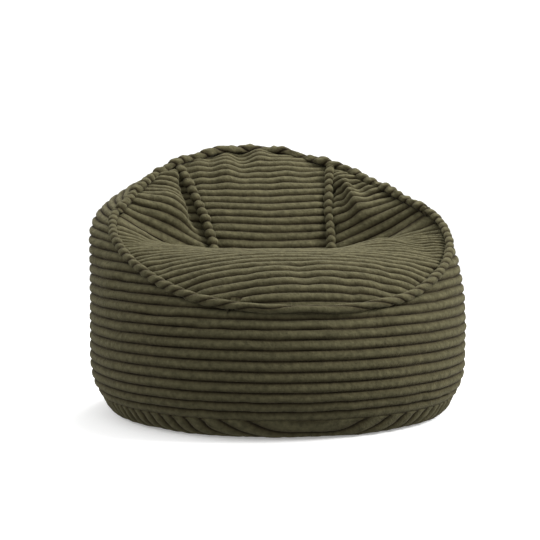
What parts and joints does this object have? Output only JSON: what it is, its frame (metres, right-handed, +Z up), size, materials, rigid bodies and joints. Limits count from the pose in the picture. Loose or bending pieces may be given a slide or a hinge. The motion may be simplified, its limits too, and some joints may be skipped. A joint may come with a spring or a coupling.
{
  "type": "bean bag chair",
  "caption": "Round low bean bag chair with a scooped seat and a sloping padded backrest, covered in wide-ribbed corduroy.",
  "frame": {"origin": "middle of the round base, on the floor", "axes": "+Z up; the open front of the seat faces -Y, so +X is on the right of someone who looks at the front"},
  "size_m": [0.8522, 0.8519, 0.6202],
  "materials": {
    "corduroy": "brushed jumbo corduroy",
    "piping": "brushed corduroy cut across its ribs",
    "lining": "plain woven lining",
    "zip_tape": "woven tape",
    "zip_coil": "nylon coil",
    "zip_slider": "satin enamel",
    "zip_metal": "satin",
    "beads": "expanded foam beads"
  },
  "bodies": {
    "chair": {"base_panel": "corduroy", "wall_panel": "corduroy", "seat_panel": "corduroy", "backrest_centre_panel": "corduroy", "backrest_wing_left": "corduroy", "backrest_wing_right": "corduroy", "rim_piping_front": "piping", "rim_piping_back": "piping", "backrest_piping_left": "piping", "backrest_piping_right": "piping", "bead_fill": "beads", "cover_zip_coil_lower": "zip_coil", "cover_zip_coil_upper": "zip_coil", "cover_zip_stops_lower": "zip_metal", "cover_zip_stops_upper": "zip_metal", "cover_zip_tape_lower": "zip_tape", "cover_zip_tape_upper": "zip_tape", "liner_backrest": "lining", "liner_base": "lining", "liner_seat": "lining", "liner_wall": "lining", "liner_wing_left": "lining", "liner_wing_right": "lining", "liner_zip_coil_lower": "zip_coil", "liner_zip_coil_upper": "zip_coil", "liner_zip_stops_lower": "zip_metal", "liner_zip_stops_upper": "zip_metal", "liner_zip_tape_lower": "zip_tape", "liner_zip_tape_upper": "zip_tape"},
    "cover_slider": {"cover_zip_slider": "zip_slider"},
    "liner_slider": {"liner_zip_slider": "zip_slider"}
  },
  "joints": [
    {"name": "cover_zip_run", "type": "hinge", "parent": "chair", "child": "cover_slider", "pos_m": [0, 0, 0.019], "axis": [0, 0, 1], "range_deg": [-93.4, 0]},
    {"name": "liner_zip_run", "type": "hinge", "parent": "chair", "child": "liner_slider", "pos_m": [0, 0, 0.028], "axis": [0, 0, 1], "range_deg": [-53.4, 0]}
  ]
}
